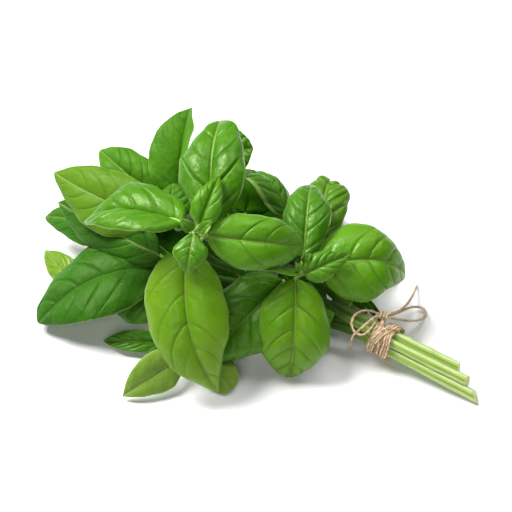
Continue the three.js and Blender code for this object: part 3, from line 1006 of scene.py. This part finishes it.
tones = {  # of the leaves that have their own, set leaf by leaf to how light or dark each looks: partly its own colour, partly painted light and shade; the lowest, on the leaves underneath and deep inside, are painted shade
    "left_high": 0.40, "low_turned": 0.85, "low_tip": 0.92, "crown_lower": 0.76, "collar_lower": 0.68,
    "crown_right": 0.57, "crown_upper": 0.44, "crown_left": 0.5, "left_big": 0.27, "left_strip": 0.25,
    "left_far": 0.35, "left_low": 0.80, "left_rear": 0.45, "collar_left": 0.40, "low_left": 0.35,
    "low_narrow": 0.40, "low_dark": 0.10, "top_inner": 0.34, "back_high": 0.34, "back_middle": 0.34,
    "under_middle": 0.10, "under_right": 0.15, "under_neck": 0.20, "under_tie": 0.25,
    "under_left": 0.10, "under_back": 0.15, "collar_right": 0.64,
}


def leafMaterial(name, paler, rough, gloss):
    material, g = newMaterial(name)
    place, veinGap, gap, show = g.place(), g.read("veinGap"), g.read("ribGap"), g.read("veinShow")
    broad, fine = g.noise(place, 50.0, 3.0), g.noise(place, 900.0, 3.0)
    dents, blisters = g.noise(place, 330.0, 2.0), g.noise(place, 165.0, 1.0)
    wander = g.noise(place, 260.0, 2.0, "Color")
    bent = g.vectorMath("ADD", {0: g.vectorMath("SCALE", {0: wander, "Scale": 1.8 * mm}), 1: place})
    settings, inputs = {"feature": "DISTANCE_TO_EDGE"}, {"Vector": bent, "Scale": 380.0}
    network = g.step(g.node("ShaderNodeTexVoronoi", settings, inputs, "Distance"), 0.07, 0.015)
    lateral = g.step(veinGap, 0.34, 0.10) * show
    valley = g.step(veinGap, 1.9, 0.2) * show
    rib = g.step(gap, 0.62, 0.26)
    shade = g.read("leafTone") + (broad - 0.5) * 0.36 + (fine - 0.5) * 0.08
    # the low end is darker than a leaf is, painted shade for the leaves deep inside
    colour = g.node("ShaderNodeValToRGB", {"stops": [
        (0.0, (0.004, 0.030, 0.0006)),
        (0.30, (0.024, 0.122, 0.0010)),
        (0.60, (0.072, 0.225, 0.0022)),
        (1.0, (0.190, 0.320, 0.0090)),
    ]}, {"Fac": shade})
    layers = [(g.read("backlit"), (0.125, 0.220, 0.008))]
    if paler:
        layers += [
            (network * 0.18, (0.24, 0.42, 0.08)),
            (lateral * 0.55, (0.30, 0.47, 0.12)),
            (paler, (0.20, 0.33, 0.06)),
            (rib * 0.6, (0.42, 0.55, 0.20)),
        ]
    else:
        layers += [
            # painted shade: darker beside the midrib, in the valleys by the veins and on the lateral
            # veins, where their grooves lie
            (g.step(gap, 1.3, 0.4) * 0.12, (0.020, 0.095, 0.002)),
            (valley * 0.12, (0.022, 0.100, 0.002)),
            (lateral * 0.22, (0.016, 0.080, 0.002)),
            (rib * g.read("ribPale"), (0.30, 0.42, 0.09)),
            (network * 0.12, (0.14, 0.30, 0.03)),
        ]
    # a pale band along the margin: painted sheen, where a turned-down margin catches the light
    rim = g.step(g.read("edgeShare") + g.read("rimWide"), 0.995, 1.03)
    for share, over in [*layers, (rim * 0.5, (0.38, 0.52, 0.16))]:
        colour = g.mixed(share, colour, over)
    height = (1 - valley * 0.6 - lateral * 0.4) * 1.0 + (1 - network) * 0.16 + dents * 1.1 + fine * 0.22
    height = height + blisters * 1.3
    if paler:
        height = 3 - height  # the veins stand out below
    rough = rough + (broad - 0.5) * 0.20 + (fine - 0.5) * 0.12
    bump, through = g.bump(0.85, 0.30 * mm, height), (0.25, (0.45, 1.0, 0.08), 0.7 * mm)
    finishMaterial(g, colour, rough, gloss, (0.86, 1.0, 0.55), bump, through)
    return material


leafFace = leafMaterial("leafFace", 0, 0.36, 0.38)
leafMatt = leafMaterial("leafMatt", 0, 0.50, 0.22)
leafBack = leafMaterial("leafBack", 0.45, 0.55, 0.22)
leafShade = leafMaterial("leafShade", 0, 0.7, 0.06)
leafStalk = stemMaterial("leafStalk", (0.42, 0.62, 0.16), (0.24, 0.46, 0.07), (0.12, 0.30, 0.03))


def bell(x):
    return np.exp(-(x**2))


def bladeProfile(u, shape):  # half the width at share u of the blade, as a share of the greatest
    a, b = shape["baseFullness"], shape["tipFullness"]
    widest = a / (a + b)
    return u**a * (1 - u) ** b / (widest**a * (1 - widest) ** b)


def smoothAlong(knots, values, at):  # a smooth curve through the values
    knots, values = np.array(knots, float), np.array(values, float)
    slopes = np.gradient(values, knots, axis=0)
    k = np.clip(np.searchsorted(knots, at, side="right") - 1, 0, len(knots) - 2)
    gap = (knots[k + 1] - knots[k])[..., None]
    w = (at - knots[k])[..., None] / gap
    return blend(w, values[k], gap * slopes[k], values[k + 1], gap * slopes[k + 1])


def leafParts(node):  # the solid's rings in order, as the stalk's centres, the blade's rings and the tip
    rings, tip = solidRings(node, 6, lambda v: 1)
    rings = rings[::-1]
    count = len(leaf["stations"])
    widest = rings[-4]
    spans = [np.linalg.norm(widest[(k + 1) % 6] - widest[k - 1]) for k in range(6)]
    rings = np.roll(rings, -(int(np.argmax(spans)) + 1), axis=1)
    stalk = rings[:-count].mean(axis=1)
    if len(stalk) > 1:
        return stalk, rings[-count:], np.array(leaf["stations"]), tip
    places = leaf["neck"] + (1 - leaf["neck"]) * np.array(leaf["stations"])
    return stalk, rings, np.array([0, *places]), tip


def gridNormals(grid):
    return unitVectors(np.cross(np.gradient(grid, axis=1), np.gradient(grid, axis=0)))


def bladeRows(shape, rng):  # where each row leaves the midrib, its place among the veins, their spacing
    veins = np.arange(-1, shape["veins"] + 2)
    gap = (1 - shape["firstVein"]) / shape["veins"]
    starts = shape["firstVein"] + gap * (veins + shape["unevenVeins"] * (rng.random(len(veins)) - 0.5))
    phases = [k + share for k in range(shape["veins"] + 1) for share in rowShares]
    rows = np.interp(phases, veins, starts)
    rows = sorted([t for t in rows if endShares[4] < t < endShares[5]] + list(endShares))
    rows = np.array([t for t, after in zip(rows, rows[1:] + [2]) if after - t > 0.002])
    phase = np.interp(rows, starts, veins)
    return rows, phase, np.interp(phase, veins, np.gradient(starts))


def bladeGrid(node, shape, rng):
    # The rows leave the midrib as the veins do and run forwards with them to the margin.
    stalk, blade, stations, tip = leafParts(node)
    ribs = blade[:, 2]
    sizes = np.linalg.norm(blade[:, 0] - ribs, axis=1)
    slim, full = sizes[0], sizes.max() * shape["wide"]
    t, phase, spacing = [numbers[:, None] for numbers in bladeRows(shape, rng)]
    share = np.linspace(0, 1, shape["columns"] + 1) ** shape["crowding"]
    v = np.concatenate([-share[::-1], share[1:]])[None, :]
    a = np.abs(v)
    lean = 1 + shape["unevenSlant"] * (rng.random(2) - 0.5)
    lean = np.where(v < 0, lean[0], lean[1])
    forward = (shape["slant"] * a + shape["curve"] * a**2) * lean * shape["sweep"] * np.sqrt(t) * (1 - t)
    wavy = np.sin(8 * a + 2.4 * phase + 6 * rng.random()) * np.minimum(1, 4 * t) * (1 - t)
    u = np.clip(t + forward + shape["waver"] * wavy * a, 0, 0.998)
    rib = smoothAlong([*stations, 1], [*ribs, tip], u)
    size = slim * (1 - u**6) + (full - slim) * bladeProfile(u, shape)
    tooth = (u * shape["teeth"] + rng.random()) % 1
    reach = a * (1 + shape["toothDepth"] * a**8 * (tooth**1.6 - 0.4) * np.minimum(1, 4 * u))
    r = reach[..., None]
    sides = []
    for margin, mid in ((0, 1), (4, 3)):
        far, half = [(blade[:, k] - ribs) / sizes[:, None] for k in (margin, mid)]
        far, half = [smoothAlong([*stations, 1], [*way, way[-1]], u) for way in (far, half)]
        sides.append(far * (2 * r**2 - r) + half * (4 * r - 4 * r**2))
    grid = rib + size[..., None] * np.where(v[..., None] < 0, sides[0], sides[1])
    back = shape["notch"] * full * np.clip(v / 0.22, 0, 1) * np.clip((u - 0.55) / 0.45, 0, 1) ** 2
    grid = grid - unitVectors(tip - ribs[-2]) * back[..., None]
    length = routeLength(np.array([*ribs, tip]))
    veinGap = np.abs((phase + 0.5) % 1 - 0.5) * spacing * length * 0.8 * np.ones_like(a)
    return stalk, grid, u, v, size, float(full), phase, veinGap


def leafRelief(shape, u, v, size, full, phase, veinGap, rng):  # and how far each vein shows
    a = np.abs(v)
    bold = rng.uniform(*shape["veinStrength"], (2, shape["veins"] + 3))
    nearest = (np.round(phase) + 1).astype(int) * np.ones(a.shape, int)
    bold[:, shape["deepVein"] + 1] *= shape["deepStrength"]
    show = np.where(v < 0, bold[0][nearest], bold[1][nearest]) * (1 - 0.8 * a**1.5)
    gap = a * size
    strip = np.floor(phase) * 7.3 + np.where(v < 0, 0, 3.1)  # tells the strips between veins apart
    crest = np.abs(np.sin(math.pi * phase)) ** 0.8
    cells = np.abs(np.sin(math.pi * (shape["pillowCells"] * a + np.sin(strip)))) ** 0.8
    strength = 0.8 + 0.35 * np.sin(2.3 * strip + 6 * rng.random())
    inner = 1 - np.exp(-((gap / shape["pillowFrom"]) ** 1.2))
    outer = 1 - np.clip((a - 0.5) / 0.5, 0, 1) ** 1.3
    ends = np.clip(size / (0.5 * full), 0, 1)
    pillow = shape["pillow"] * full * inner * outer * ends * crest * (0.86 + 0.18 * cells) * strength
    cushion = shape["cushion"] * full * ends * np.sin(math.pi * a**0.75) ** 0.8
    curl = -shape["curl"] * full * np.clip((a - 0.82) / 0.18, 0, 1) ** 2 * ends
    groove = -shape["groove"] * bell(gap / shape["grooveWidth"]) * (1 - 0.5 * u)
    beside = veinGap / shape["veinWidth"]
    veined = shape["veinShoulder"] * bell(beside - 2.3) - bell(beside)
    veined = shape["veinGroove"] * veined * inner * show * ends
    turnLeft, turnRight = rng.random(2) * math.tau
    swing = np.where(v < 0, np.sin(9.5 * u + turnLeft), np.sin(10.7 * u + turnRight))
    small = np.sin(27 * u + 5 * v + turnLeft)
    ripple = shape["ripple"] * full * a**3 * (swing + 0.35 * small) * np.clip(size / (0.35 * full), 0, 1)
    sag = shape["sag"] * full * np.sin(4.2 * u + turnRight) * np.cos(2.4 * v + turnLeft) * ends
    return pillow + cushion + curl + groove + veined + ripple + sag, show


stalkShape = {
    "steps": 28,
    "sides": 10,
    "places": (0, 0.15, 0.8, 1),  # from the stem to its end inside the blade
    "radii": (1.15 * mm, 0.95 * mm, 0.8 * mm, 0.25 * mm),
    "fullFrom": 12 * mm,  # the half width of a leaf whose stalk is that thick
    "endsAt": (0.03, 0.12),  # shares of the blade
    "height": 0.25,  # how high it lies in the blade, as a share of its thickness
}
stemPoints = np.vstack([smoothRoute(centres, 90) for centres, radii in stemLines.values()])


def bladeSides(shape, grid, relief, u, v, size, veinGap):  # the leaf's upper and lower faces
    upper = grid + gridNormals(grid) * relief[..., None]
    normals = gridNormals(upper)
    wide = np.abs(v) * np.ones_like(size)
    rib = shape["ribDepth"] * (1 - 0.8 * u) * bell(np.abs(v) * size / shape["ribWidth"])
    veins = shape["veinDepth"] * bell(veinGap / shape["veinWidth"]) * (1 - wide)
    thick = shape["thickness"] * (1 - 0.45 * wide**4) + rib + veins
    lower = upper - normals * thick[..., None]
    lower[..., 2] = np.maximum(lower[..., 2], floorGap)
    upper[..., 2] = np.maximum(upper[..., 2], lower[..., 2] + shape["thickness"] / 2)
    return upper, lower


def bladeFaces(rows, columns):  # above, below and round the margin, each with its material
    under = rows * columns
    at = np.arange(under).reshape(rows, columns)
    quads = np.stack([at[:-1, :-1], at[:-1, 1:], at[1:, 1:], at[1:, :-1]], axis=-1).reshape(-1, 4)
    faces = np.stack([quads, under + quads[:, ::-1]], axis=1).reshape(-1, 4).tolist()
    rim = np.concatenate([at[0], at[1:, -1], at[-1, -2::-1], at[-2:0:-1, 0]]).tolist()
    faces += [(b, a, under + a, under + b) for a, b in zip(rim, rim[1:] + rim[:1])]
    return faces, [0, 1] * len(quads) + [0] * len(rim)


def stalkRoute(stalk, upper, lower, u):  # out of the nearest stem and into the blade, under the midrib
    middle = upper.shape[1] // 2
    near = stemPoints[np.argmin(np.linalg.norm(stemPoints - stalk[0], axis=1))]
    rows = [int(np.argmin(np.abs(u[:, middle] - share))) for share in stalkShape["endsAt"]]
    height = stalkShape["height"]
    inBlade = [lower[k, middle] * (1 - height) + upper[k, middle] * height for k in rows]
    return smoothRoute([near, *stalk, *inBlade], stalkShape["steps"])


def addLeaf(node, index):
    rng = np.random.default_rng(100 + index)
    kind = budLeaf if "bud" in node else youngLeaf if "young" in node else leaf
    shape = {**kind, **manners.get(node, {})}
    stalk, grid, u, v, size, full, phase, veinGap = bladeGrid(node, shape, rng)
    relief, show = leafRelief(shape, u, v, size, full, phase, veinGap, rng)
    upper, lower = bladeSides(shape, grid, relief, u, v, size, veinGap)
    points = [*upper.reshape(-1, 3), *lower.reshape(-1, 3)]
    faces, slots = bladeFaces(*upper.shape[:2])
    inBlade = len(points)
    route = stalkRoute(stalk, upper, lower, u)
    steps, sides = stalkShape["steps"], stalkShape["sides"]
    place = np.linspace(0, 1, steps)
    radii = np.array(stalkShape["radii"]) * min(1, full / stalkShape["fullFrom"])
    radii = np.interp(place, stalkShape["places"], radii)
    addTube(points, faces, slots, route, radii, 2, sides)
    face = leafBack if node in turnedOver else leafMatt if node in matt else leafFace
    if node in inShade or node.startswith("under_"):
        face = leafShade
    mesh = faceMesh(pieceName(node), points, faces, face, leafBack, leafStalk)
    onBlade = {
        "veinGap": veinGap / mm, "ribGap": np.abs(v) * size / mm,
        "edgeShare": np.abs(v) * np.ones_like(size), "veinShow": show,
    }
    for label, numbers in onBlade.items():
        rest = np.zeros(steps * sides)
        setValues(mesh, label, np.concatenate([numbers.ravel(), numbers.ravel(), rest]))
    along, around = np.repeat(place, sides) * routeLength(route), np.tile(np.arange(sides) / sides, steps)
    setValues(mesh, "along", np.concatenate([np.zeros(inBlade), along]))
    setValues(mesh, "around", np.concatenate([np.zeros(inBlade), around]))
    whole = {
        "leafTone": tones.get(node, shape["tone"]), "ribPale": shape["ribPale"],
        "rimWide": shape["rimWide"], "backlit": backlit.get(node, 0),
    }
    for label, number in whole.items():
        setValues(mesh, label, np.full(len(points), number))
    mesh.polygons.foreach_set("material_index", slots)
    mesh.polygons.foreach_set("use_smooth", np.ones(len(faces), bool))
    mesh.validate()
    mesh.update()
    addPiece(pieceName(node), mesh, [node])


plain = ("stem_", "branch_", "loop_", "tail_", "twine_")
leafNodes = [n for n in sorted(frame["nodes"]) if not n.startswith(plain)]
for index, node in enumerate(leafNodes):
    addLeaf(node, index)
print("leaves made:", len(leafNodes))


# floor and light

def addFloor():
    mesh = bpy.data.meshes.new("floor")
    side = 6.0
    corners = [(-side, -side, 0), (side, -side, 0), (side, side, 0), (-side, side, 0)]
    mesh.from_pydata(corners, [], [(0, 1, 2, 3)])
    floor = linkObject("floor", mesh)
    material, g = newMaterial("paleFloor")
    finishMaterial(g, (0.93, 0.93, 0.93, 1), 0.9, 0.1)
    mesh.materials.append(material)


lights = {
    "key": {"place": (-0.78, -0.10, 1.12), "size": 0.65, "power": 31},
    "fill": {"place": (0.45, -1.1, 0.95), "size": 1.1, "power": 6.5},
    "top": {"place": (0.1, 0.60, 1.15), "size": 0.9, "power": 9},
}
worldLight = 0.05


def addLights():
    for name, part in lights.items():
        data = bpy.data.lights.new(name, "AREA")
        data.shape, data.size, data.energy = "DISK", part["size"], part["power"]
        light = linkObject(name, data)
        light.location = part["place"]
        light.rotation_euler = (-Vector(part["place"])).to_track_quat("-Z", "Y").to_euler()
    world = bpy.data.worlds.new("studio")
    world.use_nodes = True
    background = world.node_tree.nodes["Background"].inputs
    background["Color"].default_value = (1, 1, 1, 1)
    background["Strength"].default_value = worldLight
    bpy.context.scene.world = world
    bpy.context.scene.view_settings.view_transform = "Standard"


addFloor()
addLights()
print("floor and lights set")
